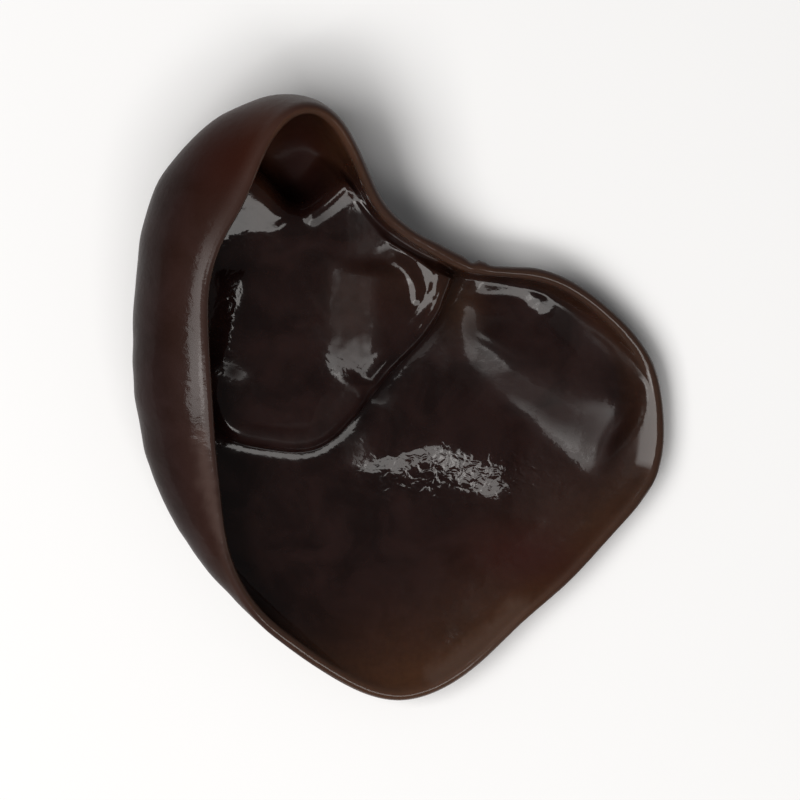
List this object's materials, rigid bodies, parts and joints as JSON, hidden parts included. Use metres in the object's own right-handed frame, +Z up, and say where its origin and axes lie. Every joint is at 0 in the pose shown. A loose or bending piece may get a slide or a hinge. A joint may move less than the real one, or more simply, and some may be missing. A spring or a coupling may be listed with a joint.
{
  "type": "wood ear mushroom",
  "caption": "Rehydrated wood ear mushroom: an ear-shaped hollow of thin dark gelatinous flesh with one wall rolled over and a pleat inside, lying on its back.",
  "frame": {"origin": "middle of the ear's outline, on the surface that it lies on", "axes": "+Z up, out of the hollow; +Y towards the tip; +X towards the right-hand lobe"},
  "size_m": [0.0574, 0.0655, 0.0176],
  "materials": {
    "flesh": "wet and glossy dark brown jelly, smooth inside, finely felted on the back, amber at the thin margin"
  },
  "bodies": {
    "root": {"ear": "flesh"}
  },
  "joints": []
}
